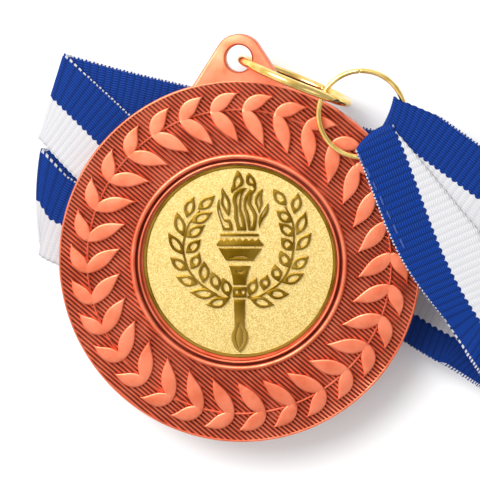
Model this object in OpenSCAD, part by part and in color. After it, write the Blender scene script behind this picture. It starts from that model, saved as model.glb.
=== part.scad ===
// School award medal with an embossed insert, two jump rings and a neck ribbon, lying face up on its
// folded ribbon. The origin is on the surface that it lies on, under the medal's centre. +Z is out of
// the face, +Y points to the hanging tab. Medal heights are counted from its flat back, at back_z.

/* [Medal] */
// Diameter of the medal
medal_d = 46.5; // [44:0.5:48]
// Thickness of the rim and the raised relief
medal_t = 2.75; // [2.6:0.05:3]
// Height of the sunk field between the rim and the centre
field_t = 2.1; // [1.9:0.05:2.3]
// Diameter of the hole in the tab
tab_hole_d = 3.4; // [3.2:0.1:3.6]
// Number of leaf pairs round the rim
leaf_pairs = 30; // [24:1:32]

/* [Emblem] */
// Diameter of the insert
emblem_d = 25; // [24:0.5:25]
// Height of the insert's relief above its plate
emblem_relief = 0.35; // [0.2:0.05:0.4]

/* [Rings] */
// Outer diameter of the large ring through the tab
link_ring_d = 15.7; // [15.5:0.1:15.8]
// Wire of the large ring
link_wire_d = 1.1; // [0.9:0.05:1.1]
// Outer diameter of the small ring in the ribbon
ribbon_ring_d = 11.5; // [11.2:0.1:11.6]
// Wire of the small ring
ribbon_wire_d = 0.65; // [0.5:0.05:0.65]

/* [Ribbon] */
// Width of the tape
tape_w = 11; // [10:0.5:11]
// Thickness of the tape
tape_t = 0.3; // [0.2:0.05:0.3]
// Height from one hidden layer to the next
layer_pitch = 0.45; // [0.42:0.01:0.5]

/* [Hidden] */
$fn = 96;

copper = [0.87, 0.48, 0.37];
pale_gold = [0.93, 0.84, 0.56];
gold = [0.80, 0.64, 0.26];
foam_white = [0.92, 0.92, 0.90];
royal_blue = [0.07, 0.26, 0.60];
thread_blue = [0.12, 0.30, 0.66];

// Medal
medal_r = medal_d / 2;
edge_bevel = 0.2;
rim_r = medal_r - 0.5;
rim_t = 2.35;
lip_r = 12.65;
lip_out_r = 12.95;
groove_t = 2.0;
ring_in_r = 13.25;
ring_out_r = 13.95;
recess_t = 1.5;
tab_t = 2.3;
tab_y = 26;
tab_r = 3.1;
tab_slope = 50;
tab_foot_r = 21.5;

// Rim leaves: each pair opens clockwise from a vertex on the stem circle. A leaf is [length, width,
// turn from the circle's direction].
stem_r = 19.5;
outer_leaf = [4.3, 1.8, 25];
inner_leaf = [5.6, 2, -57];
leaf_phase = 4.4;
leaf_sink = 0.3;

// Insert
pad_t = 0.15;
plate_t = 0.3;
plate_z = recess_t + pad_t;
relief_z = plate_z + plate_t;
insert_gap = 0.05;
relief_sink = 0.1;
relief_h = emblem_relief + relief_sink;

// Ribbon layers, counted up from the surface that the medal lies on
layers = 15;
under_gap = 0.35;
function layer_z(k) = tape_t / 2 + k * layer_pitch;
back_z = layer_z(layers - 1) + tape_t / 2 + under_gap;

// Large ring: upright, through the tab hole, along ring_dir in plan
ring_angle = -22;
ring_dir = [cos(ring_angle), sin(ring_angle)];
link_r = (link_ring_d - link_wire_d) / 2;
link_start = 0.3;
link_x = ring_dir.x * (link_start + link_r);
link_y = tab_y + ring_dir.y * (link_start + link_r);
link_z = link_ring_d / 2 + 0.05;

// Small ring: flat above the face
small_r = (ribbon_ring_d - ribbon_wire_d) / 2;
small_x = 15.7;
small_y = 19.1;
small_z = back_z + 3.95;
ring_cut = 0.3;
ring_cut_angle = 93;

// Ribbon over the medal's edge and round the small ring
over_z = back_z + 5;
wrap_r = (ribbon_wire_d + tape_t) / 2 + 0.12;
wrap_top = small_z + wrap_r;
wrap_low = small_z - wrap_r;

// Corners of the folded tape: [x, y, height of the stretch that leaves this corner]. The tape's colour
// boundary follows them, from the end sewn on top, under the medal and back to the small ring.
ROUTE = [
    [20, 16.8, over_z],
    [31, -7.4, layer_z(0)],
    [-6, 7.9, layer_z(1)],
    [-8, -6, layer_z(2)],
    [18, 2, layer_z(3)],
    [-19, -2, layer_z(4)],
    [18, -5, layer_z(5)],
    [-18, -6, layer_z(6)],
    [18, -1, layer_z(7)],
    [-19, 1, layer_z(8)],
    [18, 6, layer_z(9)],
    [-18, 5, layer_z(10)],
    [10, 12, layer_z(11)],
    [-25.8, 8.5, layer_z(12)],
    [8, -10.9, layer_z(14)],
    [-24.3, 20.9, layer_z(13)],
    [31.5, 8, wrap_top],
    [17.9, 17.7, wrap_low],
    [22.5, 14.4, wrap_low],
];
LAST = len(ROUTE) - 1;
WRAP = LAST - 1;
ARC_STEPS = 6;
STRETCH_STEPS = 4;
mitre_len = 16;
gather_len = 6;
gathered_w = 4.1;
square_margin = 0.6;

function flat(v) = [v.x, v.y];
function heading(i) = let(d = flat(ROUTE[i + 1] - ROUTE[i])) d / norm(d);
function left(d) = [-d.y, d.x];
function stretch_len(i) = norm(flat(ROUTE[i + 1] - ROUTE[i]));
// Side of the first edge seen along the heading: it changes at each fold
function side(i) = (i % 2 == 0) ? -1 : 1;
// Direction out of the fold at corner i, the fold line across it, and half the fold's length
function fold_out(i) = let(o = heading(i - 1) - heading(i)) o / norm(o);
function fold_line(i) =
    let(f = left(fold_out(i)))
    f * ((f * left(heading(i)) * side(i) >= 0) ? 1 : -1);
function fold_half(i) = (tape_w / 2) / abs(fold_line(i) * left(heading(i)));
function fold_reach(i) = (i == 0 || i == LAST)
    ? 0
    : abs(fold_line(i) * heading(i)) * fold_half(i) + square_margin;

// Half widths of the two colours at distance s along stretch i
function first_half(i, s) = (i >= WRAP - 1)
    ? let(d = (i == WRAP) ? s : stretch_len(i) - s)
        min(tape_w / 2, gathered_w + (tape_w / 2 - gathered_w) * d / gather_len)
    : tape_w / 2;
function second_half(i, s) = (i == 0)
    ? min(tape_w / 2, 0.2 + (tape_w / 2) * s / mitre_len)
    : first_half(i, s);

// A cross-section of the tape's middle surface: [first edge, second edge, upward normal]
function section(c, z, across, a, b, nrm) = [
    [c.x + across.x * a, c.y + across.y * a, z],
    [c.x - across.x * b, c.y - across.y * b, z],
    nrm,
];
function stretch_sections(i) =
    let(d = heading(i))
    let(across = left(d) * side(i))
    let(s0 = fold_reach(i))
    let(s1 = stretch_len(i) - ((i + 1 < LAST) ? fold_reach(i + 1) : 0))
    let(up = [0, 0, side(i)])
    [for (k = [0:STRETCH_STEPS])
        let(s = s0 + (s1 - s0) * k / STRETCH_STEPS)
        section(flat(ROUTE[i]) + d * s, ROUTE[i].z, across, first_half(i, s), second_half(i, s), up)];
function fold_sections(i) =
    let(o = fold_out(i))
    let(f = fold_line(i))
    let(h = (i == WRAP) ? gathered_w : fold_half(i))
    let(z0 = ROUTE[i - 1].z)
    let(z1 = ROUTE[i].z)
    let(r = (z0 - z1) / 2)
    [for (k = [0:ARC_STEPS])
        let(a = 90 - 180 * k / ARC_STEPS)
        section(flat(ROUTE[i]) + o * abs(r) * cos(a), (z0 + z1) / 2 + r * sin(a), f, h, h,
            side(i - 1) * sign(r) * [o.x * cos(a), o.y * cos(a), sin(a) * sign(r)])];
function band_sections() = [
    for (i = [0:LAST - 1])
        each concat(i == 0 ? [] : fold_sections(i), stretch_sections(i))
];
function ring_points(s) = [
    s[0] + s[2] * tape_t / 2,
    s[1] + s[2] * tape_t / 2,
    s[1] - s[2] * tape_t / 2,
    s[0] - s[2] * tape_t / 2,
];

module leaf_outline(len, w) {
    polygon([
        [0, -0.12], [len * 0.25, -w * 0.40], [len * 0.5, -w * 0.5], [len * 0.75, -w * 0.36],
        [len, 0],
        [len * 0.75, w * 0.36], [len * 0.5, w * 0.5], [len * 0.25, w * 0.40], [0, 0.12],
    ]);
}

module rim_leaf(shape) {
    translate([stem_r, 0, field_t - leaf_sink])
        rotate(-90 + shape[2])
            linear_extrude(medal_t - field_t + leaf_sink)
                leaf_outline(shape[0], shape[1]);
}

module medal_disc() {
    rotate_extrude($fn = 180)
        polygon([
            [0, 0], [medal_r - edge_bevel, 0], [medal_r, edge_bevel],
            [medal_r, rim_t - edge_bevel], [medal_r - edge_bevel, rim_t],
            [rim_r, rim_t], [rim_r, field_t], [ring_out_r, field_t],
            [ring_out_r, medal_t], [ring_in_r, medal_t], [ring_in_r, groove_t],
            [lip_out_r, groove_t], [lip_out_r, medal_t - 0.1], [lip_r, medal_t - 0.1],
            [lip_r, recess_t], [0, recess_t],
        ]);
}

module tab() {
    top = 90 - tab_slope;
    foot = tab_foot_r * [sin(20), cos(20)];
    linear_extrude(tab_t)
        difference() {
            union() {
                translate([0, tab_y])
                    circle(tab_r);
                polygon([
                    [tab_r * sin(tab_slope), tab_y + tab_r * cos(tab_slope)],
                    [foot.x, foot.y], [-foot.x, foot.y],
                    [-tab_r * sin(tab_slope), tab_y + tab_r * cos(tab_slope)],
                ]);
            }
            circle(rim_r);
        }
}

module medal_body() {
    color(copper)
        translate([0, 0, back_z])
        difference() {
            union() {
                medal_disc();
                tab();
                for (i = [0:leaf_pairs - 1])
                    rotate(leaf_phase + i * 360 / leaf_pairs) {
                        rim_leaf(outer_leaf);
                        rim_leaf(inner_leaf);
                    }
            }
            translate([0, tab_y, -1])
                cylinder(d = tab_hole_d, h = tab_t + 2);
        }
}

module emblem_pad() {
    color(foam_white)
        translate([0, 0, back_z + recess_t])
            cylinder(d = emblem_d - 1, h = pad_t);
}

module branch_leaf(r, a, turn, len) {
    translate([r * cos(a), r * sin(a), 0])
        rotate(a + turn)
            linear_extrude(relief_h)
                leaf_outline(len, 1.15);
}

module branch(mirrored) {
    mirror([mirrored, 0, 0])
        for (i = [0:6]) {
            branch_leaf(6.5, -50 + i * 13, 48, 2.6);
            branch_leaf(6.3, -44 + i * 13, 128, 2.4);
        }
}

module torch() {
    linear_extrude(relief_h) {
        polygon([[-2.3, 3.6], [-2.9, 5.6], [-2.7, 7.5], [-1.9, 7.2], [-2.3, 9.4], [-1.1, 9.1],
            [-0.5, 11.4], [0.3, 9.8], [1, 11.1], [1.5, 9.0], [2.6, 9.2], [2.4, 7.0], [3.5, 7.5],
            [3.0, 5.0], [2.3, 3.6]]);
        polygon([[-3, 2.8], [-3, 1.7], [-1.75, -0.1], [1.75, -0.1], [3, 1.7], [3, 2.8]]);
        polygon([[-1.35, -0.7], [-0.85, -3.2], [0.85, -3.2], [1.35, -0.7]]);
        translate([-0.85, -4.8])
            square([1.7, 1.4]);
        translate([-0.7, -8.3])
            square([1.4, 3.3]);
        polygon([[0, -8.2], [-1.07, -10.1], [0, -11.6], [1.07, -10.1]]);
    }
}

module emblem() {
    color(pale_gold)
        translate([0, 0, back_z + plate_z])
            cylinder(r = min(emblem_d / 2, lip_r) - insert_gap, h = plate_t);
    color(gold)
        translate([0, 0, back_z + relief_z - relief_sink]) {
            difference() {
                cylinder(r = emblem_d / 2 - 0.15, h = relief_h);
                translate([0, 0, -1])
                    cylinder(r = emblem_d / 2 - 0.6, h = relief_h + 2);
            }
            torch();
            branch(0);
            branch(1);
        }
}

module wire_ring(r, wire_d) {
    rotate_extrude($fn = 96)
        translate([r, 0])
            circle(d = wire_d, $fn = 24);
}

module link_ring() {
    color(gold)
        translate([link_x, link_y, link_z])
            rotate(ring_angle)
                rotate([90, 0, 0])
                    wire_ring(link_r, link_wire_d);
}

module ribbon_ring() {
    color(gold)
        translate([small_x, small_y, small_z])
            difference() {
                wire_ring(small_r, ribbon_wire_d);
                rotate(ring_cut_angle)
                    translate([small_r, 0, 0])
                        cube([3, ring_cut, 3], center = true);
            }
}

module ribbon() {
    secs = band_sections();
    n = len(secs);
    color(royal_blue)
        polyhedron(
            points = [for (s = secs) each ring_points(s)],
            faces = concat(
                [[0, 1, 2, 3]],
                [for (i = [0:n - 2], j = [0:3])
                    [4 * i + j, 4 * i + 4 + j, 4 * i + 4 + (j + 1) % 4, 4 * i + (j + 1) % 4]],
                [[4 * n - 1, 4 * n - 2, 4 * n - 3, 4 * n - 4]]
            ));
}

module seam_stitches() {
    stitch = [1.3, 0.28, 0.14];
    stitch_gap = 1.9;
    d = heading(0);
    color(thread_blue)
        for (i = [0:6])
            translate([ROUTE[0].x - 4.6 + 0.2 * i, ROUTE[0].y - 2.6, over_z + tape_t / 2])
                translate([d.x * i * stitch_gap, d.y * i * stitch_gap, 0])
                    rotate(atan2(d.y, d.x))
                        translate([0, -stitch.y / 2, 0])
                            cube(stitch);
}

medal_body();
emblem();
emblem_pad();
link_ring();
ribbon_ring();
ribbon();
seam_stitches();
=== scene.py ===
import math

import bmesh
import bpy
from mathutils import Matrix, Vector, noise


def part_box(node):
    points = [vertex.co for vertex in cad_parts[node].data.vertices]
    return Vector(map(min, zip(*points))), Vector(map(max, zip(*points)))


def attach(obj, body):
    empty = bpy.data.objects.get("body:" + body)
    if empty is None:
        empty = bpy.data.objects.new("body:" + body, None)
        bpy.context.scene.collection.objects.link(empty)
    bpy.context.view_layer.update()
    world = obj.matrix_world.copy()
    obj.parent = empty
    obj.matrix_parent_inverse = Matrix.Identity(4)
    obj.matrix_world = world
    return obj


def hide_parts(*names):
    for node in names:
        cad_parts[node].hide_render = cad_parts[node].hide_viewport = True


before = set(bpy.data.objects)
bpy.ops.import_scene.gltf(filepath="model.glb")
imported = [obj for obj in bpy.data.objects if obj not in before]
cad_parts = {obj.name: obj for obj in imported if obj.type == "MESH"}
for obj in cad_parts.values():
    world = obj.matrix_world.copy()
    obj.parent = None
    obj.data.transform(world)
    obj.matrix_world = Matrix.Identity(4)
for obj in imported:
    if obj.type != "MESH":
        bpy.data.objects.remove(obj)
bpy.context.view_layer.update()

# Lengths below are in millimetres; every mesh is brought to metres when it becomes a piece.
MM = 0.001


def box_mm(node):
    lo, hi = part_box(node)
    return lo / MM, hi / MM


medal_lo, medal_hi = box_mm("medal_body")
insert_lo, insert_hi = box_mm("emblem")
link_lo, link_hi = box_mm("link_ring")
small_lo, small_hi = box_mm("ribbon_ring")
BACK_Z = medal_lo.z
MEDAL_T = medal_hi.z - medal_lo.z
MEDAL_R = medal_hi.x
FIELD_T, RIM_T, RECESS_T, TAB_T = 2.1, 2.35, 1.5, 2.3
RING_IN, RING_OUT, LIP_IN, LIP_OUT = 13.25, 13.95, 12.65, 12.95
GROOVE_T, LIP_T = 2.0, 2.65
TAB_R = 3.1
TAB_Y = medal_hi.y - TAB_R
HOLE_R = 1.7
STEM_R = 19.5
LEAF_PAIRS = 30
LEAF_PHASE = 4.4
# Name, start off the stem circle, length, width, turn from the circle's direction in degrees, curl
LEAF_PAIR = (("outer", -0.22, 4.5, 1.9, 27, 0.36), ("inner", 0.22, 5.7, 2.0, -59, 0.16))
HATCH_PITCH, HATCH_SLANT = 0.476, -40
INSERT_RELIEF = 0.35
# Raised parts start this high, inside the metal
SUNK_T = 1.9
FACE_Z = BACK_Z + MEDAL_T

scene = bpy.context.scene


# ---------------------------------------------------------------- camera
PX_PER_MM = 7.84
VIEW_W = 480 / PX_PER_MM
TILT = math.radians(8)
TILT_TO = math.radians(45)
cam_data = bpy.data.cameras.new("camera")
cam_data.sensor_width = 36
cam_data.lens = 180
cam = bpy.data.objects.new("camera", cam_data)
scene.collection.objects.link(cam)
aim = Vector((0.2, 2.9, FACE_Z - 0.4)) * MM
back = Vector((math.sin(TILT) * math.cos(TILT_TO), math.sin(TILT) * math.sin(TILT_TO), math.cos(TILT)))
cam.location = aim + back * (VIEW_W * MM * cam_data.lens / cam_data.sensor_width)
right = Vector((0, 1, 0)).cross(back).normalized()
up = back.cross(right)
cam.rotation_mode = "QUATERNION"
cam.rotation_quaternion = Matrix((right, up, back)).transposed().to_quaternion()
cam_data.clip_start = 0.01
cam_data.clip_end = 10
scene.camera = cam


# ---------------------------------------------------------------- meshes
def piece(name, verts, faces, uv=None):
    mesh = bpy.data.meshes.new(name)
    mesh.from_pydata([tuple(v) for v in verts], [], faces)
    if uv:
        layer = mesh.uv_layers.new(name="tape")
        for loop in mesh.loops:
            layer.data[loop.index].uv = uv[loop.vertex_index]
    mesh.update()
    obj = bpy.data.objects.new(name, mesh)
    scene.collection.objects.link(obj)
    return obj


def boolean(a, b, operation):
    m = a.modifiers.new("join", "BOOLEAN")
    m.operation = operation
    m.solver = "MANIFOLD"
    m.object = b
    made = bpy.data.meshes.new_from_object(a.evaluated_get(bpy.context.evaluated_depsgraph_get()))
    a.modifiers.clear()
    a.data = made
    bpy.data.objects.remove(b, do_unlink=True)
    return a


def settle(obj, body, nodes, material, sharp=32):
    """Brings a finished piece to metres and puts it on its body in place of its CAD nodes."""
    obj.data.transform(Matrix.Scale(MM, 4))
    for poly in obj.data.polygons:
        poly.use_smooth = True
    if sharp:
        obj.data.set_sharp_from_angle(angle=math.radians(sharp))
    obj.data.materials.clear()
    obj.data.materials.append(material)
    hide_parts(*nodes)
    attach(obj, body)


def lathe(name, profile, steps=288):
    """Closed ring or disc round Z. The profile runs anticlockwise in (r, z); r = 0 points close it."""
    verts, rows = [], []
    for r, z in profile:
        if r < 1e-6:
            rows.append([len(verts)] * steps)
            verts.append((0, 0, z))
        else:
            rows.append(list(range(len(verts), len(verts) + steps)))
            verts += [(r * math.cos(2 * math.pi * k / steps), r * math.sin(2 * math.pi * k / steps), z)
                      for k in range(steps)]
    faces = []
    for i, row in enumerate(rows):
        nxt = rows[(i + 1) % len(rows)]
        for k in range(steps):
            m = (k + 1) % steps
            loop = []
            for v in (row[k], row[m], nxt[m], nxt[k]):
                if v not in loop:
                    loop.append(v)
            if len(loop) > 2:
                faces.append(loop)
    return piece(name, verts, faces)


def arc(cr, cz, r, a0, a1, steps=6):
    return [(cr + r * math.cos(math.radians(a0 + (a1 - a0) * k / steps)),
             cz + r * math.sin(math.radians(a0 + (a1 - a0) * k / steps))) for k in range(steps + 1)]


def leaf_shape(t):
    """Relative half width of a leaf along its spine."""
    return max(0.0, math.sin(math.pi * t ** 0.92)) ** 1.15


def wreath_shape(t):
    """The same for the rim's leaves, which are full at the base and pointed at the tip."""
    return max(0.0, math.sin(math.pi * t ** 0.78)) ** (0.82 + 0.48 * t)


def leaf_spine(base, angle, length, curl, t):
    """A point and its left-hand side on a spine that leaves base at angle and turns by curl."""
    x = length * t
    y = curl * length * t * (1 - t)
    slope = curl * (1 - 2 * t)
    c, s = math.cos(angle), math.sin(angle)
    point = Vector((base[0] + x * c - y * s, base[1] + x * s + y * c))
    side = Vector((-slope, 1)).normalized()
    return point, Vector((side.x * c - side.y * s, side.x * s + side.y * c))


def leaf_solid(verts, faces, base, angle, length, width, curl, levels, steps=16):
    """Adds one pillowed leaf: levels are (height, how far the outline is drawn in)."""
    first = len(verts)
    ring = 2 * steps
    for z, inset in levels:
        lo_t = max(0.0, inset / length * 1.6)
        sides = [[], []]
        for k in range(steps + 1):
            t = lo_t + (1 - 2 * lo_t) * k / steps
            p, side = leaf_spine(base, angle, length, curl, t)
            half = max(0.0, width / 2 * wreath_shape(t) - inset)
            sides[0].append(p - side * half)
            sides[1].append(p + side * half)
        loop = sides[0] + sides[1][1:-1][::-1]
        verts += [(p.x, p.y, z) for p in loop]
    for i in range(len(levels) - 1):
        a, b = first + i * ring, first + (i + 1) * ring
        faces += [(a + k, a + (k + 1) % ring, b + (k + 1) % ring, b + k) for k in range(ring)]
    last = first + (len(levels) - 1) * ring
    for start, flip in ((first, True), (last, False)):
        cap = [[start, start + 1, start + ring - 1]]
        cap += [[start + k, start + k + 1, start + ring - k - 1, start + ring - k]
                for k in range(1, steps - 1)]
        cap += [[start + steps - 1, start + steps, start + steps + 1]]
        faces += [c[::-1] for c in cap] if flip else cap


# ---------------------------------------------------------------- materials
class Look:
    """A node material with one Principled shader and short calls for its pattern nodes."""

    def __init__(self, name, **sockets):
        self.mat = bpy.data.materials.new(name)
        self.mat.use_nodes = True
        self.tree = self.mat.node_tree
        self.tree.nodes.clear()
        out = self.tree.nodes.new("ShaderNodeOutputMaterial")
        self.shader = self.tree.nodes.new("ShaderNodeBsdfPrincipled")
        self.tree.links.new(self.shader.outputs[0], out.inputs[0])
        for key, value in sockets.items():
            self.shader.inputs[key.replace("_", " ")].default_value = value
        self.place = self.tree.nodes.new("ShaderNodeTexCoord").outputs["Object"]
        self.xyz = self.node("ShaderNodeSeparateXYZ", self.place).outputs

    def node(self, kind, *inputs, **props):
        n = self.tree.nodes.new(kind)
        for key, value in props.items():
            setattr(n, key, value)
        for i, value in enumerate(inputs):
            self.put(n.inputs[i], value)
        return n

    def put(self, socket, value):
        if isinstance(value, bpy.types.NodeSocket):
            self.tree.links.new(value, socket)
        elif value is not None:
            socket.default_value = value

    def math(self, operation, *inputs):
        return self.node("ShaderNodeMath", *inputs, operation=operation).outputs[0]

    def step(self, value, lo, hi, to_lo=0.0, to_hi=1.0):
        """Smooth change from to_lo to to_hi as value goes from lo to hi."""
        n = self.node("ShaderNodeMapRange", value, lo, hi, to_lo, to_hi, interpolation_type="SMOOTHSTEP")
        return n.outputs[0]

    def mix(self, factor, a, b):
        n = self.node("ShaderNodeMix", data_type="RGBA")
        self.put(n.inputs[0], factor)
        self.put(n.inputs[6], a)
        self.put(n.inputs[7], b)
        return n.outputs[2]

    def noise(self, size, detail=3.0, stretch=None, place=None):
        """Noise with features about size millimetres across."""
        place = place or self.place
        if stretch:
            place = self.node("ShaderNodeVectorMath", place, stretch, operation="MULTIPLY").outputs[0]
        return self.node("ShaderNodeTexNoise", place, None, 1 / (size * MM), detail).outputs[0]

    def radius(self):
        flat = self.node("ShaderNodeCombineXYZ", self.xyz[0], self.xyz[1], 0.0).outputs[0]
        return self.node("ShaderNodeVectorMath", flat, operation="LENGTH").outputs["Value"]

    def bump(self, height, depth, strength=1.0):
        """Height from 0 to 1 stands for depth millimetres."""
        n = self.node("ShaderNodeBump")
        self.put(n.inputs["Strength"], strength)
        self.put(n.inputs["Distance"], depth * MM)
        self.put(n.inputs["Height"], height)
        self.tree.links.new(n.outputs[0], self.shader.inputs["Normal"])

    def set(self, name, value):
        self.put(self.shader.inputs[name], value)


def rgb(text):
    """sRGB hex to a linear colour."""
    parts = [int(text[i:i + 2], 16) / 255 for i in (1, 3, 5)]
    return tuple(c / 12.92 if c <= 0.04045 else ((c + 0.055) / 1.055) ** 2.4 for c in parts) + (1.0,)


def copper_look():
    k = Look("satin_copper", Metallic=1.0)
    r, z = k.radius(), k.xyz[2]
    deep = k.step(z, (BACK_Z + FIELD_T) * MM, (BACK_Z + FIELD_T + 0.2) * MM, 1.0, 0.0)
    inner = k.step(r, (RING_OUT - 0.1) * MM, RING_OUT * MM)
    outer = k.step(r, (MEDAL_R - 0.3) * MM, (MEDAL_R - 0.2) * MM, 1.0, 0.0)
    above = k.step(z, (BACK_Z + 1.9) * MM, (BACK_Z + 2.0) * MM)
    field = k.math("MULTIPLY", k.math("MULTIPLY", deep, inner), k.math("MULTIPLY", outer, above))
    groove_in = k.step(r, (LIP_OUT - 0.12) * MM, LIP_OUT * MM)
    groove_out = k.step(r, RING_IN * MM, (RING_IN + 0.1) * MM, 1.0, 0.0)
    groove_deep = k.step(z, (BACK_Z + 2.0) * MM, (BACK_Z + 2.55) * MM, 1.0, 0.0)
    groove_ring = k.math("MULTIPLY", groove_in, groove_out)
    groove = k.math("MULTIPLY", groove_ring, k.math("MULTIPLY", groove_deep, above))
    dark = k.math("MAXIMUM", field, groove)
    cloud = k.noise(2.6, 4.0)
    grain = k.noise(0.12, 2.0)
    dark = k.math("MULTIPLY", dark, k.step(cloud, 0.2, 0.6, 0.8, 1.0))
    tone = k.mix(k.step(cloud, 0.35, 0.7), rgb("#EC8564"), rgb("#DC704F"))
    # Painted shade: the rim's outer side wall is mixed, up to 45 %, toward a dark copper brown.
    side = k.step(z, (BACK_Z + 1.9) * MM, (BACK_Z + 2.2) * MM, 1.0, 0.0)
    painted_wall_shade = k.math("MULTIPLY", side, k.step(r, (MEDAL_R - 0.15) * MM, MEDAL_R * MM, 0.0, 0.45))
    tone = k.mix(painted_wall_shade, tone, rgb("#8A4632"))
    k.set("Base Color", k.mix(dark, tone, rgb("#7C382C")))
    rough = k.step(grain, 0.3, 0.75, 0.35, 0.48)
    k.set("Roughness", k.math("ADD", rough, k.math("MULTIPLY", dark, 0.3)))
    k.bump(k.math("ADD", grain, k.math("MULTIPLY", k.noise(0.9, 2.0), 0.8)), 0.012)
    return k.mat


def insert_look():
    k = Look("sandblasted_gold_insert", Metallic=1.0)
    z = k.xyz[2]
    plate_top = insert_hi.z - INSERT_RELIEF
    relief = k.step(z, (plate_top + 0.03) * MM, (plate_top + 0.14) * MM)
    sand = k.noise(0.13, 2.0)
    cloud = k.noise(3.5, 3.0)
    ground = k.mix(k.step(sand, 0.38, 0.62), rgb("#C4A55C"), rgb("#E6CF8E"))
    raised = k.mix(k.step(cloud, 0.35, 0.65), rgb("#7A5A0C"), rgb("#A07E2A"))
    raised = k.mix(k.step(k.xyz[1], -10 * MM, -4.5 * MM), rgb("#B08C3A"), raised)
    k.set("Base Color", k.mix(relief, ground, raised))
    k.set("Roughness", k.step(relief, 0.0, 1.0, 0.5, 0.27))
    fine = k.math("MULTIPLY", sand, k.step(relief, 0.0, 1.0, 1.0, 0.15))
    k.bump(fine, 0.03)
    return k.mat


def ring_look():
    k = Look("polished_gold_wire", Metallic=1.0)
    drawn = k.noise(0.25, 3.0)
    spots = k.noise(1.4, 3.0)
    k.set("Base Color", k.mix(k.step(spots, 0.35, 0.7), rgb("#F4D486"), rgb("#E3BC62")))
    k.set("Roughness", k.step(drawn, 0.3, 0.75, 0.1, 0.22))
    k.bump(k.math("ADD", drawn, spots), 0.008)
    return k.mat


def foam_look():
    k = Look("foam_adhesive", Roughness=0.85)
    cells = k.noise(0.3, 2.0)
    k.set("Base Color", k.mix(k.step(cells, 0.3, 0.7), rgb("#E9E8E4"), rgb("#D2D0CA")))
    k.bump(cells, 0.05)
    return k.mat


RIB = 0.9
YARN = 0.3
TAPE_W = 11.0


def tape_look():
    k = Look("two_colour_grosgrain", Sheen_Weight=0.03, Sheen_Roughness=0.4, Specular_IOR_Level=0.12)
    uv = k.node("ShaderNodeUVMap", uv_map="tape").outputs[0]
    u, v = k.node("ShaderNodeSeparateXYZ", uv).outputs[:2]
    along = k.math("MULTIPLY", u, 2 * math.pi / RIB)
    rib = k.math("SINE", along)
    across = k.math("MULTIPLY", v, 2 * math.pi / YARN)
    yarn = k.math("SINE", k.math("ADD", across, k.math("MULTIPLY", rib, 0.6)))
    bulge = k.math("ABSOLUTE", k.math("SINE", k.math("MULTIPLY", along, 0.5)))
    edge = k.math("ADD", TAPE_W / 2, k.math("MULTIPLY", bulge, 0.28))
    # Painted shade: the hollows between the ribs are mixed toward darker blue and darker grey.
    rib_groove_shade = k.math("MULTIPLY", k.step(k.math("COSINE", along), -1.0, -0.3, 1.0, 0.0), 0.55)
    white = k.step(k.math("SUBTRACT", v, edge), -0.05, 0.05)
    selvedge = k.step(v, 0.15, 0.25, 1.0, 0.0)
    dots = k.math("MULTIPLY", selvedge, k.step(k.math("SINE", k.math("MULTIPLY", along, 2.0)), -0.4, 0.1))
    cover = k.math("MAXIMUM", white, dots)
    fibre = k.noise(0.18, 2.0)
    shade = k.step(k.math("ADD", yarn, k.math("MULTIPLY", fibre, 1.2)), -0.8, 1.4)
    blue = k.mix(shade, rgb("#021E54"), rgb("#06368A"))
    pale = k.mix(shade, rgb("#BCBCBF"), rgb("#C9C9CB"))
    blue = k.mix(rib_groove_shade, blue, rgb("#031A48"))
    pale = k.mix(rib_groove_shade, pale, rgb("#B4B4BC"))
    k.set("Base Color", k.mix(cover, blue, pale))
    k.set("Roughness", k.step(yarn, -1.0, 1.0, 0.78, 0.55))
    weave = k.math("ADD", k.math("MULTIPLY", yarn, 0.25), k.math("MULTIPLY", fibre, 0.3))
    k.bump(weave, 0.05)
    return k.mat


def thread_look():
    k = Look("sewing_thread", Roughness=0.6, Sheen_Weight=0.3)
    twist = k.noise(0.12, 2.0)
    k.set("Base Color", k.mix(k.step(twist, 0.3, 0.7), rgb("#0A2F78"), rgb("#1A4C9E")))
    k.bump(twist, 0.03)
    return k.mat


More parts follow.
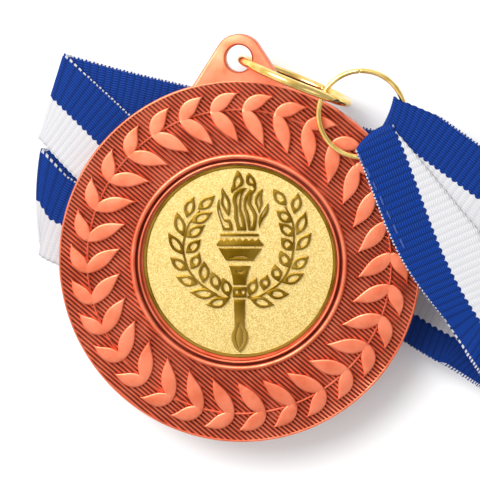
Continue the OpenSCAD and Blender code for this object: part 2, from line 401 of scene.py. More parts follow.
# ---------------------------------------------------------------- medal
def make_medal():
    rim = [(MEDAL_R, 0.3), (MEDAL_R, 2.12), (MEDAL_R - 0.04, 2.25), (MEDAL_R - 0.11, 2.33),
           (MEDAL_R - 0.2, RIM_T), (MEDAL_R - 0.28, 2.3), (MEDAL_R - 0.36, FIELD_T)]
    moulding_r = (RING_OUT - RING_IN) / 2
    moulding = [(RING_OUT, FIELD_T)]
    moulding += arc((RING_IN + RING_OUT) / 2, MEDAL_T - moulding_r, moulding_r, 0, 180, 10)
    lip_r = (LIP_OUT - LIP_IN) / 2
    lip = [(RING_IN, GROOVE_T), (LIP_OUT, GROOVE_T)]
    lip += arc((LIP_IN + LIP_OUT) / 2, LIP_T - lip_r, lip_r, 0, 180, 6)
    profile = [(0, 0), (MEDAL_R - 1.7, 0), (MEDAL_R - 1.6, 0.0), (MEDAL_R - 0.3, 0.0), (MEDAL_R - 0.1, 0.08)]
    profile += rim + moulding + lip + [(LIP_IN, RECESS_T), (0, RECESS_T)]
    disc = lathe("Medal", profile)

    # Slanted hatching over the whole field
    slant = math.radians(HATCH_SLANT)
    along = Vector((math.cos(slant), math.sin(slant)))
    across = Vector((-math.sin(slant), math.cos(slant)))
    section = [(-0.16, SUNK_T), (0.16, SUNK_T), (0.14, 2.2), (0.085, 2.3), (0.0, 2.335), (-0.085, 2.3),
               (-0.14, 2.2)]
    verts, faces = [], []
    count = int(MEDAL_R / HATCH_PITCH)
    for i in range(-count, count + 1):
        v0 = i * HATCH_PITCH
        half = math.sqrt(max(0.0, MEDAL_R ** 2 - v0 ** 2))
        if half < 1:
            continue
        n = len(section)
        steps = 24
        first = len(verts)
        for k in range(steps + 1):
            s = -half + 2 * half * k / steps
            wob = noise.noise(Vector((s * 0.35, v0, 3.7))) * 0.03
            for dv, z in section:
                p = along * s + across * (v0 + dv + wob)
                verts.append((p.x, p.y, z))
        for k in range(steps):
            a, b = first + k * n, first + (k + 1) * n
            faces += [(a + j, a + (j + 1) % n, b + (j + 1) % n, b + j) for j in range(n)]
        faces.append([first + j for j in range(n)][::-1])
        faces.append([first + steps * n + j for j in range(n)])
    hatch = piece("hatch", verts, faces)
    keep_in, keep_out = RING_OUT - 0.2, MEDAL_R - 0.25
    keep = lathe("keep", [(keep_in, 1.5), (keep_out, 1.5), (keep_out, 3), (keep_in, 3)])
    boolean(hatch, keep, "INTERSECT")
    boolean(disc, hatch, "UNION")

    stem = lathe("stem", [(STEM_R - 0.15, SUNK_T), (STEM_R + 0.15, SUNK_T), (STEM_R + 0.12, 2.48),
                          (STEM_R, 2.58), (STEM_R - 0.12, 2.48)])
    boolean(disc, stem, "UNION")
    levels = [(SUNK_T, -0.02), (2.6, 0.0), (2.69, 0.03), (2.735, 0.09), (MEDAL_T, 0.24)]
    for name, start, length, width, turn, curl in LEAF_PAIR:
        verts, faces = [], []
        for i in range(LEAF_PAIRS):
            a = math.radians(i * 360 / LEAF_PAIRS + LEAF_PHASE)
            base = ((STEM_R + start) * math.cos(a), (STEM_R + start) * math.sin(a))
            leaf_solid(verts, faces, base, a + math.radians(-90 + turn), length, width, curl, levels)
        boolean(disc, piece(name, verts, faces), "UNION")

    # Hanging tab
    slope = math.radians(50)
    tip = (TAB_R * math.sin(slope), TAB_Y + TAB_R * math.cos(slope))
    foot = (21.5 * math.sin(math.radians(20)), 21.5 * math.cos(math.radians(20)))
    outline = [(-foot[0], foot[1]), foot, tip]
    outline += [(TAB_R * math.cos(a), TAB_Y + TAB_R * math.sin(a))
                for a in [math.radians(40 + 100 * k / 24) for k in range(1, 24)]]
    outline += [(-tip[0], tip[1])]
    n = len(outline)
    verts = [(x, y, 0.02) for x, y in outline] + [(x, y, TAB_T) for x, y in outline]
    faces = [list(range(n))[::-1], list(range(n, 2 * n))]
    faces += [(k, (k + 1) % n, n + (k + 1) % n, n + k) for k in range(n)]
    tab = piece("tab", verts, faces)
    bevel = tab.modifiers.new("round", "BEVEL")
    bevel.width = 0.22
    bevel.segments = 3
    bevel.limit_method = "ANGLE"
    bevel.angle_limit = math.radians(50)
    tab.data = bpy.data.meshes.new_from_object(tab.evaluated_get(bpy.context.evaluated_depsgraph_get()))
    tab.modifiers.clear()
    clear = lathe("clear", [(0, -1), (MEDAL_R - 0.3, -1), (MEDAL_R - 0.3, 4), (0, 4)])
    boolean(tab, clear, "DIFFERENCE")
    boolean(disc, tab, "UNION")
    wide, chamfer = HOLE_R + 0.2, 0.2
    hole = lathe("hole", [(0, -1), (wide, -1), (wide, 0), (HOLE_R, chamfer), (HOLE_R, TAB_T - chamfer),
                          (wide, TAB_T), (wide, TAB_T + 1), (0, TAB_T + 1)], 96)
    hole.data.transform(Matrix.Translation((0, TAB_Y, 0)))
    boolean(disc, hole, "DIFFERENCE")
    disc.data.transform(Matrix.Translation((0, 0, BACK_Z)))
    settle(disc, "medal", ["medal_body"], copper_look(), 40)


# ---------------------------------------------------------------- insert
FLAMES = [
    [(-0.35, 11.72), (0.12, 11.35), (0.5, 10.4), (0.4, 9.8), (0.0, 9.55), (-0.6, 9.15),
     (-1.0, 8.75), (-1.1, 9.3), (-0.9, 9.9), (-0.75, 10.6)],
    [(1.15, 11.4), (1.65, 11.0), (2.05, 10.3), (2.15, 9.6), (2.0, 9.0), (1.7, 8.75), (1.6, 9.0),
     (1.8, 9.35), (1.6, 9.75), (1.2, 9.75), (0.85, 10.15), (0.85, 10.9)],
    [(0.95, 9.45), (0.3, 9.45), (-0.3, 9.15), (-0.75, 8.6), (-0.9, 7.8), (-0.72, 7.0),
     (-0.68, 6.2), (-0.7, 5.6), (-0.5, 5.0), (-0.3, 4.0), (0.9, 4.0), (0.7, 5.2), (0.45, 6.1),
     (0.2, 6.8), (0.18, 7.5), (0.3, 8.4), (0.6, 9.05)],
    [(1.3, 9.3), (1.75, 9.0), (1.62, 8.4), (1.5, 7.5), (1.9, 6.75), (2.2, 6.1), (2.2, 5.2),
     (2.0, 4.0), (1.15, 4.0), (1.0, 4.8), (0.8, 5.9), (0.55, 6.7), (0.52, 7.5), (0.65, 8.3),
     (1.0, 8.85)],
    [(-2.2, 9.5), (-1.85, 8.9), (-1.35, 8.1), (-1.15, 7.3), (-1.2, 6.4), (-1.35, 5.8),
     (-1.7, 6.15), (-2.15, 6.9), (-2.4, 7.5), (-2.3, 8.3), (-2.35, 9.0)],
    [(-2.65, 8.0), (-2.55, 7.1), (-2.3, 6.2), (-2.0, 5.5), (-1.3, 5.4), (-0.95, 4.7), (-0.85, 4.0),
     (-2.1, 4.0), (-2.3, 4.7), (-2.6, 5.6), (-2.85, 6.6), (-2.9, 7.2)],
    [(3.0, 9.4), (2.85, 8.4), (2.95, 7.6), (2.75, 6.9), (2.5, 6.2), (2.2, 7.0), (1.95, 7.6),
     (2.05, 8.4), (2.5, 9.1)],
    [(3.65, 7.6), (3.72, 7.0), (3.55, 6.2), (2.95, 5.3), (2.5, 4.3), (2.45, 5.2), (2.62, 5.9),
     (3.1, 6.7), (3.4, 7.2)],
]
SLITS = [
    [(-0.15, 10.9), (0.1, 10.4), (-0.05, 9.95), (-0.5, 9.5), (-0.55, 10.1), (-0.4, 10.6)],
    [(1.3, 10.9), (1.65, 10.4), (1.75, 10.05), (1.4, 10.1), (1.2, 10.4)],
    [(0.05, 8.9), (-0.25, 8.4), (-0.4, 7.8), (-0.25, 7.0), (-0.25, 6.2), (-0.15, 5.3), (0.1, 4.5),
     (0.4, 4.5), (0.2, 5.4), (0.0, 6.2), (-0.1, 7.0), (-0.05, 7.8), (0.1, 8.5)],
    [(1.1, 8.3), (1.05, 7.5), (1.4, 6.7), (1.75, 6.0), (1.75, 5.2), (1.6, 4.5), (1.4, 4.5),
     (1.35, 5.4), (1.15, 6.2), (0.85, 6.9), (0.85, 7.6)],
    [(-2.1, 8.7), (-1.7, 8.0), (-1.5, 7.3), (-1.55, 6.6), (-1.9, 7.1), (-2.1, 7.6), (-2.05, 8.2)],
    [(-2.74, 6.9), (-2.6, 6.0), (-2.25, 4.95), (-1.9, 4.4), (-1.3, 4.4), (-1.45, 4.95),
     (-1.95, 5.15), (-2.3, 5.8), (-2.5, 6.5)],
    [(2.65, 8.7), (2.5, 8.0), (2.6, 7.3), (2.5, 6.9), (2.25, 7.6), (2.35, 8.2)],
    [(3.45, 7.0), (3.25, 6.4), (2.8, 5.6), (2.75, 5.9), (3.1, 6.6)],
]
# Leaves of the two branches: tip and base
LEFT_LEAVES = [
    ((-5.74, 8.04), (-6.67, 5.33)), ((-7.92, 6.10), (-7.06, 3.00)), ((-9.0, 3.46), (-6.98, 0.67)),
    ((-8.77, 0.36), (-6.52, -1.27)), ((-8.07, -2.05), (-5.28, -2.98)), ((-6.36, -3.99), (-2.79, -4.22)),
    ((-4.27, -5.62), (-1.32, -4.92)), ((-3.10, 8.20), (-5.28, 6.41)), ((-3.41, 6.10), (-6.13, 4.78)),
    ((-4.35, 4.47), (-6.83, 2.92)), ((-4.89, 2.69), (-6.75, 0.90)), ((-5.04, 0.98), (-6.13, -1.11)),
    ((-4.50, -0.03), (-4.58, -2.90)), ((-3.57, -1.35), (-2.72, -3.83)), ((-2.17, -2.12), (-1.32, -4.61)),
]
RIGHT_LEAVES = [
    ((7.30, 8.66), (6.83, 5.95)), ((8.30, 6.26), (7.14, 3.31)), ((9.0, 3.62), (7.06, 1.37)),
    ((8.69, 0.67), (6.52, -0.96)), ((8.15, -1.50), (5.28, -2.67)), ((6.29, -4.14), (3.34, -3.99)),
    ((4.42, -5.54), (1.32, -4.76)), ((4.19, 9.13), (5.90, 6.96)), ((4.58, 6.41), (6.67, 4.94)),
    ((4.89, 4.86), (6.98, 3.15)), ((5.20, 3.0), (6.75, 1.37)), ((5.05, 1.37), (6.29, -0.80)),
    ((4.42, -0.34), (4.97, -2.59)), ((3.49, -1.66), (3.03, -3.75)), ((2.17, -2.12), (1.24, -4.45)),
]
LEFT_STEM = [(-1.2, -4.6), (-2.0, -4.75), (-2.9, -4.4), (-4.9, -3.05), (-6.4, -1.4), (-7.05, 0.3),
             (-7.25, 1.8), (-7.0, 3.4), (-6.55, 4.7), (-5.9, 5.6), (-5.1, 6.5)]
RIGHT_STEM = [(1.0, -4.5), (1.8, -4.65), (3.1, -4.1), (5.3, -2.55), (6.4, -0.6), (6.85, 1.4),
              (6.95, 3.2), (6.85, 4.8), (6.45, 6.0), (5.8, 7.1)]
CUP = [
    [(-2.45, 3.28), (2.45, 3.28), (2.5, 3.45), (2.4, 3.62), (-2.4, 3.62), (-2.5, 3.45)],
    [(-2.7, 1.72), (-2.35, 1.15), (-1.95, 0.5), (-1.72, 0.13), (1.75, 0.13), (2.0, 0.5),
     (2.45, 1.15), (2.85, 1.72)],
    [(-1.35, -0.5), (-1.05, -1.4), (-0.85, -2.3), (-0.78, -2.98), (0.82, -2.98), (0.88, -2.3),
     (1.1, -1.4), (1.4, -0.5)],
    [(-0.84, -3.25), (0.88, -3.25), (0.88, -4.6), (-0.84, -4.6)],
    [(-0.68, -4.88), (0.72, -4.88), (0.68, -6.5), (0.66, -8.3), (0.78, -8.7), (1.04, -9.2),
     (1.08, -9.9), (0.85, -10.7), (0.5, -11.3), (0.04, -11.72), (-0.42, -11.3), (-0.8, -10.7),
     (-1.02, -9.9), (-0.98, -9.2), (-0.72, -8.7), (-0.62, -8.3), (-0.66, -6.5)],
]
CUP_HOLES = {
    3: [[(x + 0.24 * math.cos(k * math.pi / 5), -3.9 + 0.24 * math.sin(k * math.pi / 5)) for k in range(10)]
        for x in (-0.39, 0.45)],
    1: [[(-1.15, 0.42), (-0.55, 0.64), (0.1, 0.7), (0.75, 0.64), (1.3, 0.42), (0.75, 0.5),
         (0.1, 0.56), (-0.55, 0.5)]],
    2: [[(-0.5, -1.1), (-0.2, -1.3), (0.03, -1.36), (0.26, -1.3), (0.56, -1.1), (0.3, -1.42),
         (0.03, -1.5), (-0.24, -1.42)]],
}
CROWN_TEETH = [(-2.6 + 0.4 * k + 0.2, 3.02 if k % 2 == 0 else 2.68) for k in range(13)]
CROWN = [(-2.85, 2.0), (-3.0, 2.2), (-2.6, 2.65)] + CROWN_TEETH + [(2.65, 2.65), (3.1, 2.2), (2.9, 2.0)]


def smooth_loop(points, steps=5, keep=70):
    """Closed Catmull-Rom curve through the points; corners sharper than keep degrees stay sharp."""
    pts = [Vector(p) for p in points]
    n = len(pts)
    tangents = []
    for i in range(n):
        a, b, c = pts[i - 1], pts[i], pts[(i + 1) % n]
        turn = (b - a).angle(c - b) if (b - a).length > 0 and (c - b).length > 0 else 0
        tangents.append(None if turn > math.radians(keep) else (c - a) / 2)
    out = []
    for i in range(n):
        p0, p1 = pts[i], pts[(i + 1) % n]
        chord = p1 - p0
        m0 = tangents[i] if tangents[i] is not None else chord
        m1 = tangents[(i + 1) % n] if tangents[(i + 1) % n] is not None else chord
        m0 = m0.normalized() * min(m0.length, chord.length * 1.1)
        m1 = m1.normalized() * min(m1.length, chord.length * 1.1)
        for k in range(steps):
            t = k / steps
            h1, h2 = 2 * t ** 3 - 3 * t ** 2 + 1, t ** 3 - 2 * t ** 2 + t
            h3, h4 = 3 * t ** 2 - 2 * t ** 3, t ** 3 - t ** 2
            out.append(p0 * h1 + m0 * h2 + p1 * h3 + m1 * h4)
    return out


def relief(name, loops, base_z, top_z, round_by):
    """Closed raised shapes with rounded upper edges, from 2-D loops; a loop inside another is a hole."""
    curve = bpy.data.curves.new(name, "CURVE")
    curve.dimensions = "2D"
    curve.fill_mode = "BOTH"
    for loop in loops:
        s = curve.splines.new("POLY")
        s.points.add(len(loop) - 1)
        for p, q in zip(s.points, loop):
            p.co = (q[0], q[1], 0, 1)
        s.use_cyclic_u = True
    curve.extrude = (top_z - base_z) / 2 - round_by
    curve.bevel_depth = round_by
    curve.bevel_resolution = 2
    curve.offset = -round_by
    obj = bpy.data.objects.new(name, curve)
    scene.collection.objects.link(obj)
    mesh = bpy.data.meshes.new_from_object(obj.evaluated_get(bpy.context.evaluated_depsgraph_get()))
    bpy.data.objects.remove(obj, do_unlink=True)
    bm = bmesh.new()
    bm.from_mesh(mesh)
    bmesh.ops.remove_doubles(bm, verts=bm.verts, dist=0.002)
    bmesh.ops.translate(bm, verts=bm.verts, vec=(0, 0, (top_z + base_z) / 2))
    sound = all(e.is_manifold and e.is_contiguous for e in bm.edges) and bm.calc_volume(signed=True) > 0
    bm.to_mesh(mesh)
    bm.free()
    made = bpy.data.objects.new(name, mesh)
    scene.collection.objects.link(made)
    return made, sound


def raise_on(plate, name, loops, base_z, top_z, round_by=0.06):
    """Joins raised shapes to the plate, with less rounding where they are too narrow for it."""
    for rounding in (round_by, 0.03, 0.012, 0.0):
        made, sound = relief(name, loops, base_z, top_z, rounding)
        if sound:
            return boolean(plate, made, "UNION")
        bpy.data.objects.remove(made, do_unlink=True)
    raise ValueError(name + " is not a closed shape")


def leaf_loop(tip, base, width, curl, steps=12, inset=0.0):
    """Outline of a leaf of the insert, drawn in by inset all round."""
    tip, base = Vector(tip), Vector(base)
    d = tip - base
    angle = math.atan2(d.y, d.x)
    trim = inset / d.length * 2.2
    sides = [[], []]
    for k in range(steps + 1):
        t = trim + (1 - 2 * trim) * k / steps
        p, side = leaf_spine(base, angle, d.length, curl, t)
        half = max(0.0, width / 2 * leaf_shape(t) - inset)
        sides[0].append(p - side * half)
        sides[1].append(p + side * half)
    return sides[0] + sides[1][1:-1][::-1]


def stroke(points, width):
    """Outline of a tapering stroke along a smooth open line."""
    pts = [Vector(p) for p in points]
    line = []
    for i in range(len(pts) - 1):
        p0, p1 = pts[i], pts[i + 1]
        m0 = (pts[i + 1] - pts[max(i - 1, 0)]) / 2
        m1 = (pts[min(i + 2, len(pts) - 1)] - pts[i]) / 2
        for k in range(5):
            t = k / 5
            line.append(p0 * (2 * t ** 3 - 3 * t ** 2 + 1) + m0 * (t ** 3 - 2 * t ** 2 + t)
                        + p1 * (3 * t ** 2 - 2 * t ** 3) + m1 * (t ** 3 - t ** 2))
    line.append(pts[-1])
    a, b = [], []
    for i, p in enumerate(line):
        d = (line[min(i + 1, len(line) - 1)] - line[max(i - 1, 0)]).normalized()
        half = width / 2 * (1 - 0.35 * i / len(line))
        a.append(p + Vector((d.y, -d.x)) * half)
        b.append(p + Vector((-d.y, d.x)) * half)
    return a + b[::-1]


def make_insert():
    low = insert_lo.z
    plate_top = insert_hi.z - INSERT_RELIEF
    r = insert_hi.x
    sunk, top = plate_top - 0.15, insert_hi.z - 0.02
    plate = lathe("Emblem_insert", [(0, low), (r, low), (r, plate_top - 0.06), (r - 0.06, plate_top),
                                    (0, plate_top)], 192)
    border = lathe("border", [(r - 0.5, sunk), (r - 0.08, sunk), (r - 0.08, plate_top + 0.12),
                              (r - 0.15, plate_top + 0.2), (r - 0.42, plate_top + 0.2),
                              (r - 0.5, plate_top + 0.1)], 192)
    boolean(plate, border, "UNION")
    for name, leaves, curl in (("left", LEFT_LEAVES, 0.1), ("right", RIGHT_LEAVES, -0.1)):
        loops = []
        for i, (tip, base) in enumerate(leaves):
            tip, base = ((x * 1.02, y * 1.02 + 0.12) for x, y in (tip, base))
            bend = curl if i < 7 else -curl
            loops.append(leaf_loop(tip, base, 1.42, bend))
            loops.append(leaf_loop(tip, base, 1.42, bend, 10, 0.36))
        raise_on(plate, name, loops, sunk, top)
    for name, line in (("left_stem", LEFT_STEM), ("right_stem", RIGHT_STEM)):
        raise_on(plate, name, [stroke(line, 0.3)], sunk, top - 0.05)
    for i, (flame, slit) in enumerate(zip(FLAMES, SLITS)):
        raise_on(plate, f"flame_{i}", [smooth_loop(flame), smooth_loop(slit, 4)], sunk, top)
    raise_on(plate, "crown", [CROWN], sunk, top)
    for i, outline in enumerate(CUP):
        loops = [smooth_loop(outline, 3, 40)] + [smooth_loop(h, 3) for h in CUP_HOLES.get(i, [])]
        if i == len(CUP) - 1:
            loops += [leaf_loop((0.05, -7.75), (0.03, -11.35), 1.1, 0.0, 12, q) for q in (0.0, 0.13)]
        raise_on(plate, f"cup_{i}", loops, sunk, top, 0.03)
    plate.data.transform(Matrix.Translation((0.1, 0.1, 0)))
    settle(plate, "medal", ["emblem"], insert_look(), 35)


# ---------------------------------------------------------------- rings
# The wire's rounded ends: distance from the end, and share of the full thickness there
WIRE_END = ((0.0, 0.5), (0.03, 0.8), (0.08, 0.95))
WIRE_END_LEN = 0.14
RING_CUT = 0.02
LINK_WIRE = 1.1
LINK_HEADING, LINK_CUT_AT, SMALL_CUT_AT = -22, -60, 93


def spin(degrees, axis):
    return Matrix.Rotation(math.radians(degrees), 4, axis)


def wire_ring(name, radius, wire, gap, steps=360, round_steps=28):
    """A jump ring in its own plane, its ends gap millimetres apart at angle 0."""
    half = gap / 2 / radius
    ends = len(WIRE_END)
    verts, faces, rows = [], [], []
    for k in range(-ends, steps + ends + 1):
        if k < 0:
            place, scale = WIRE_END[k + ends]
            a = half + place / radius
        elif k > steps:
            place, scale = WIRE_END[ends + steps - k]
            a = 2 * math.pi - half - place / radius
        else:
            end = half + WIRE_END_LEN / radius
            a = end + (2 * math.pi - 2 * end) * k / steps
            scale = 1.0
        rows.append(len(verts))
        for j in range(round_steps):
            b = 2 * math.pi * j / round_steps
            rr = radius + wire / 2 * scale * math.cos(b)
            verts.append((rr * math.cos(a), rr * math.sin(a), wire / 2 * scale * math.sin(b)))
    n = round_steps
    for p, q in zip(rows[:-1], rows[1:]):
        faces += [(p + j, q + j, q + (j + 1) % n, p + (j + 1) % n) for j in range(n)]
    faces.append([rows[0] + j for j in range(n)])
    faces.append([rows[-1] + j for j in range(n)][::-1])
    return piece(name, verts, faces)


def make_rings():
    span = link_hi - link_lo
    ring = wire_ring("Large_ring", (span.z - LINK_WIRE) / 2, LINK_WIRE, RING_CUT)
    upright = spin(LINK_HEADING, "Z") @ spin(90, "X") @ spin(LINK_CUT_AT, "Z")
    ring.data.transform(Matrix.Translation((link_lo + link_hi) / 2) @ upright)
    gold = ring_look()
    settle(ring, "large_ring", ["link_ring"], gold, 40)
    wire = small_hi.z - small_lo.z
    small = wire_ring("Small_ring", (small_hi.x - small_lo.x - wire) / 2, wire, RING_CUT)
    small.data.transform(Matrix.Translation((small_lo + small_hi) / 2) @ spin(SMALL_CUT_AT, "Z"))
    settle(small, "small_ring", ["ribbon_ring"], gold, 40)


# ---------------------------------------------------------------- ribbon
TAPE_T = 0.3
PITCH = 0.45
SCALLOP, RIB_DEPTH = 0.1, 0.035


def layer(k):
    return TAPE_T / 2 + k * PITCH


OVER_Z = BACK_Z + 5
SMALL_Z = BACK_Z + 3.95
WRAP_R = (0.65 + TAPE_T) / 2 + 0.12
# Half the width to which the tape is gathered round the small ring
WRAP_HALF = 4.1
# Corners (x, y, height) from the end sewn on top to the end gathered round the small ring
ROUTE = [
    (20, 16.8, OVER_Z), (31, -7.4, layer(0)), (-6, 7.9, layer(1)), (-8, -6, layer(2)), (18, 2, layer(3)),
    (-19, -2, layer(4)), (18, -5, layer(5)), (-18, -6, layer(6)), (18, -1, layer(7)), (-19, 1, layer(8)),
    (18, 6, layer(9)), (-18, 5, layer(10)), (10, 12, layer(11)), (-25.8, 8.5, layer(12)),
    (8, -10.9, layer(14)), (-24.3, 20.9, layer(13)), (31.5, 8, SMALL_Z + WRAP_R),
    (17.9, 17.7, SMALL_Z - WRAP_R), (22.5, 14.4, SMALL_Z - WRAP_R),
]
LAST = len(ROUTE) - 1
WRAP = LAST - 1
# Stretches that show, which are cut into finer steps
SEEN = {0, 1, 12, 13, 14, 15, 16, 17}
UPPER_LOOP, LOWER_LOOP, RIGHT_LOOP = 15, 13, 1


# Stretch i runs from corner i to corner i + 1. The tape turns over at every fold.
def heading(i):
    d = Vector(ROUTE[i + 1][:2]) - Vector(ROUTE[i][:2])
    return d.normalized()


def left(d):
    return Vector((-d.y, d.x))


def stretch_len(i):
    return (Vector(ROUTE[i + 1][:2]) - Vector(ROUTE[i][:2])).length


def side(i):
    return -1 if i % 2 == 0 else 1


def fold_out(i):
    return (heading(i - 1) - heading(i)).normalized()


def fold_line(i):
    f = left(fold_out(i))
    return f if f.dot(left(heading(i))) * side(i) >= 0 else -f


def fold_half(i):
    return TAPE_W / 2 / abs(fold_line(i).dot(left(heading(i))))


def fold_reach(i):
    if i in (0, LAST):
        return 0.0
    return abs(fold_line(i).dot(heading(i))) * fold_half(i) + 0.6


def first_half(i, s):
    if i < WRAP - 1:
        return TAPE_W / 2
    d = s if i == WRAP else stretch_len(i) - s
    return min(TAPE_W / 2, WRAP_HALF + (TAPE_W / 2 - WRAP_HALF) * d / 6)


def second_half(i, s):
    if i == 0:
        return min(TAPE_W / 2, 0.2 + TAPE_W / 2 * s / 16)
    return first_half(i, s)


def front_bow(s):
    """The front strand bends aside between the small ring and the right-hand loop."""
    n = left(heading(0))
    return Vector((n.x, n.y, 0)) * -0.9 * math.sin(math.pi * max(0.0, s / stretch_len(0)) ** 1.5)


def tape_sections():
    """Cross-sections of the tape: (centre, across, first half, second half, up, length along, near).

    near gives the distance to each corner that the section is close to, and its place on a fold's arc.
    """
    out = []
    run = 0.0
    for i in range(LAST):
        p0 = Vector(ROUTE[i])
        if i > 0:
            o, f = fold_out(i), fold_line(i)
            h = WRAP_HALF if i == WRAP else fold_half(i)
            z0, z1 = ROUTE[i - 1][2], ROUTE[i][2]
            r = (z0 - z1) / 2
            length = math.pi * abs(r)
            seen = i in SEEN or i - 1 in SEEN
            steps = max(8, int(length / (0.15 if seen else 0.4)))
            for k in range(steps + 1):
                a = math.radians(90 - 180 * k / steps)
                c = Vector((p0.x + o.x * abs(r) * math.cos(a), p0.y + o.y * abs(r) * math.cos(a),
                            (z0 + z1) / 2 + r * math.sin(a)))
                up = Vector((o.x * math.cos(a), o.y * math.cos(a), math.sin(a) * math.copysign(1, r)))
                up *= side(i - 1) * math.copysign(1, r)
                near = {i: 0.0, "arc": k / steps}
                out.append((c, Vector((f.x, f.y, 0)), h, h, up, run + length * k / steps, near))
            run += length
        d = heading(i)
        across = left(d) * side(i)
        total = stretch_len(i)
        s0 = fold_reach(i)
        s1 = total - fold_reach(i + 1)
        run += s0
        steps = max(4, int((s1 - s0) / (0.15 if i in SEEN else 0.9)))
        for k in range(steps + 1):
            s = s0 + (s1 - s0) * k / steps
            c = p0 + Vector((d.x, d.y, 0)) * s
            if i == 0:
                c += front_bow(s)
            c.z = p0.z
            out.append((c, Vector((across.x, across.y, 0)), first_half(i, s), second_half(i, s),
                        Vector((0, 0, side(i))), run + s - s0, {i: s, i + 1: total - s}))
        run += total - s0
    return out


def out3(i):
    o = fold_out(i)
    return Vector((o.x, o.y, 0))


def right_top(offset, d):
    """The front strand's blue half turns edgewise toward the right-hand loop."""
    n = left(heading(0))
    return Vector((n.x, n.y, 0)) * 2.0 * max(0.0, offset / 5.5) * math.exp(-(d / 10) ** 2)


def right_low(offset, d):
    """The strand that comes back lies lower down, with its blue half tipped up outside the medal."""
    n = left(heading(RIGHT_LOOP))
    t = min(1.0, max(0.0, (12 - d) / 3.5))
    tip = math.radians(55) * t * t * (3 - 2 * t)
    blue = max(0.0, offset)
    shift = 4.5 * math.exp(-(d / 17) ** 2) - blue * (1 - math.cos(tip))
    return Vector((n.x * shift, n.y * shift, blue * math.sin(tip)))


def sway(offset, near):
    """How far the tape's loose folds lie from straight creases, by the distance from each corner."""
    move = Vector((0, 0, 0))
    if UPPER_LOOP in near:
        q = offset / 5.6
        move += out3(UPPER_LOOP) * (0.1 + 1.1 * q) * math.exp(-(near[UPPER_LOOP] / 6) ** 2)
    if LOWER_LOOP in near:
        q = offset / 5.6
        d = near[LOWER_LOOP]
        move += out3(LOWER_LOOP) * (0.25 + 1.05 * q + 0.5 * (1 - q * q)) * math.exp(-(d / 6) ** 2)
        move.y -= min(1.0, 0.2 + 0.8 * (1 - q)) * math.exp(-(d / 6) ** 2)
    if LOWER_LOOP in near and LOWER_LOOP + 1 in near:
        d = near[LOWER_LOOP]
        h = heading(LOWER_LOOP)
        move += Vector((h.y, -h.x, 0)) * (1.3 * (1 - math.exp(-d / 1.2)) + 0.2 * d) * math.exp(-(d / 9) ** 2)
    if RIGHT_LOOP in near:
        arc_share = near.get("arc", 0.0 if 0 in near else 1.0)
        move += right_top(offset, near[RIGHT_LOOP]) * (1 - arc_share)
        move += right_low(offset, near[RIGHT_LOOP]) * arc_share
    if WRAP in near:
        h = heading(WRAP)
        if offset > -0.5:
            pull = 1.1 * max(0.0, 1 - ((offset + 0.5) / 4.6) ** 2)
        else:
            pull = 1.1 - 0.3 * (-0.5 - offset) / 3.6
        move += Vector((h.x, h.y, 0)) * pull * math.exp(-(near[WRAP] / 5) ** 2)
    return move


def make_ribbon():
    secs = tape_sections()
    # The end sewn on top is turned down over the small ring
    d = heading(0)
    back3 = Vector((-d.x, -d.y, 0))
    c0, across0, a0, b0, up0, _, _ = secs[0]
    turned = []
    turn_steps = 12
    for k in range(turn_steps):
        e = 0.97 * (1 - k / turn_steps)
        tilt = (Vector((0, 0, 1)) * math.sqrt(1 - e * e) + back3 * e * 0.8).normalized()
        turned.append((c0 - Vector((0, 0, 0.5 * (1 - math.sqrt(1 - e * e)))), across0, a0, b0,
                       tilt * up0.z, -1.4 * e, {"turn": e}))
    secs = turned + secs
    cols = 16
    verts, faces, uv = [], [], []
    n = 2 * (cols + 1)
    for c, across, a, b, up, u, near in secs:
        rib = 0.5 + 0.5 * math.cos(2 * math.pi * u / RIB)
        scallop = SCALLOP * (1 - rib)
        half_t = TAPE_T / 2 - RIB_DEPTH * (1 - rib)
        row = []
        for j in range(cols + 1):
            t = j / cols
            offset = a - (a + b) * t
            place = offset
            if j == 0:
                place -= scallop
            if j == cols:
                place += scallop
            p = c + across * place
            if "turn" in near:
                q = max(0.0, min(1.0, offset / 5.5))
                p += back3 * near["turn"] * (1.35 * (1 - q) ** 0.8 + 0.5 * math.sin(math.pi * q))
            else:
                p += sway(offset, near)
            row.append((p, offset, 0.55 if j in (0, cols) else 1.0))
        for sign, order in ((1, row), (-1, row[::-1])):
            for p, offset, thin in order:
                verts.append(p + up * (sign * half_t * thin))
                uv.append((u, TAPE_W / 2 - offset))
    count = len(secs)
    for i in range(count - 1):
        a, b = i * n, (i + 1) * n
        faces += [(a + j, b + j, b + (j + 1) % n, a + (j + 1) % n) for j in range(n)]
    faces.append(list(range(n)))
    faces.append([(count - 1) * n + j for j in range(n)][::-1])
    tape = piece("Neck_ribbon", verts, faces, uv)
    settle(tape, "neck_ribbon", ["ribbon"], tape_look(), 0)


STITCHES, STITCH, STITCH_PITCH, THREAD_R = 7, 1.3, 1.9, 0.11


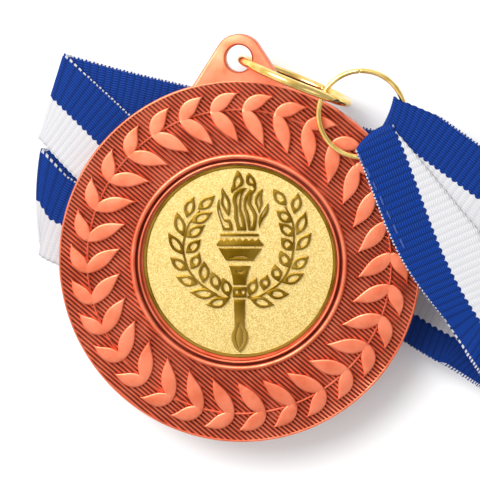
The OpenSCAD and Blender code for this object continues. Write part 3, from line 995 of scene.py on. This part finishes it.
def make_stitches():
    lo, hi = box_mm("seam_stitches")
    d = heading(0)
    verts, faces = [], []
    for i in range(STITCHES):
        first = len(verts)
        s = i * STITCH_PITCH
        seam = Vector((ROUTE[0][0] - 4.6 + 0.2 * i, ROUTE[0][1] - 2.6, 0))
        start = seam + Vector((d.x, d.y, 0)) * s + front_bow(s)
        steps, ring = 10, 10
        for k in range(steps + 1):
            t = k / steps
            r = THREAD_R * math.sqrt(max(0.02, 1 - (2 * t - 1) ** 4))
            c = start + Vector((d.x, d.y, 0)) * STITCH * t
            z = lo.z + 0.03 + 0.05 * math.sin(math.pi * t)
            for j in range(ring):
                b = 2 * math.pi * j / ring
                w, h = r * math.cos(b), 0.8 * r * math.sin(b)
                verts.append((c.x - d.y * w, c.y + d.x * w, z + h))
        for k in range(steps):
            a, b = first + k * ring, first + (k + 1) * ring
            faces += [(a + j, b + j, b + (j + 1) % ring, a + (j + 1) % ring) for j in range(ring)]
        faces.append([first + j for j in range(ring)])
        faces.append([first + steps * ring + j for j in range(ring)][::-1])
    made = piece("Seam_threads", verts, faces)
    settle(made, "neck_ribbon", ["seam_stitches"], thread_look(), 0)


make_ribbon()
make_medal()
make_insert()
make_rings()
make_stitches()
# The adhesive disc keeps its CAD mesh
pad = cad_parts["emblem_pad"]
pad.data.materials.clear()
pad.data.materials.append(foam_look())


# ---------------------------------------------------------------- floor and light
floor_mesh = bpy.data.meshes.new("floor")
floor_mesh.from_pydata([(-2, -2, 0), (2, -2, 0), (2, 2, 0), (-2, 2, 0)], [], [(0, 1, 2, 3)])
floor = bpy.data.objects.new("floor", floor_mesh)
scene.collection.objects.link(floor)
paper = bpy.data.materials.new("paper")
paper.use_nodes = True
paper.node_tree.nodes["Principled BSDF"].inputs["Base Color"].default_value = (0.93, 0.93, 0.93, 1)
paper.node_tree.nodes["Principled BSDF"].inputs["Roughness"].default_value = 0.9
floor_mesh.materials.append(paper)

world = bpy.data.worlds.new("studio")
scene.world = world
world.use_nodes = True
sky = world.node_tree
direction = sky.nodes.new("ShaderNodeTexCoord").outputs["Generated"]
leaning = sky.nodes.new("ShaderNodeVectorMath")
leaning.operation = "DOT_PRODUCT"
leaning.inputs[1].default_value = (-0.86, 0.5, 0)
glow = sky.nodes.new("ShaderNodeMapRange")
glow.interpolation_type = "SMOOTHSTEP"
for socket, value in zip(glow.inputs[1:5], (-0.2, 0.25, 0.55, 1.1)):
    socket.default_value = value
sky.links.new(direction, leaning.inputs[0])
sky.links.new(leaning.outputs["Value"], glow.inputs[0])
sky.nodes["Background"].inputs[0].default_value = (1, 1, 1, 1)
sky.links.new(glow.outputs[0], sky.nodes["Background"].inputs[1])


def area_light(name, place, size, watts):
    data = bpy.data.lights.new(name, "AREA")
    data.shape = "DISK"
    data.size = size
    data.energy = watts
    obj = bpy.data.objects.new(name, data)
    scene.collection.objects.link(obj)
    obj.location = place
    obj.rotation_mode = "QUATERNION"
    obj.rotation_quaternion = (Vector(place) - aim).to_track_quat("Z", "Y")


area_light("key", (-0.16, 0.22, 0.4), 0.3, 2.1)
area_light("fill", (0.4, -0.3, 0.6), 0.5, 0.45)
scene.view_settings.view_transform = "Standard"
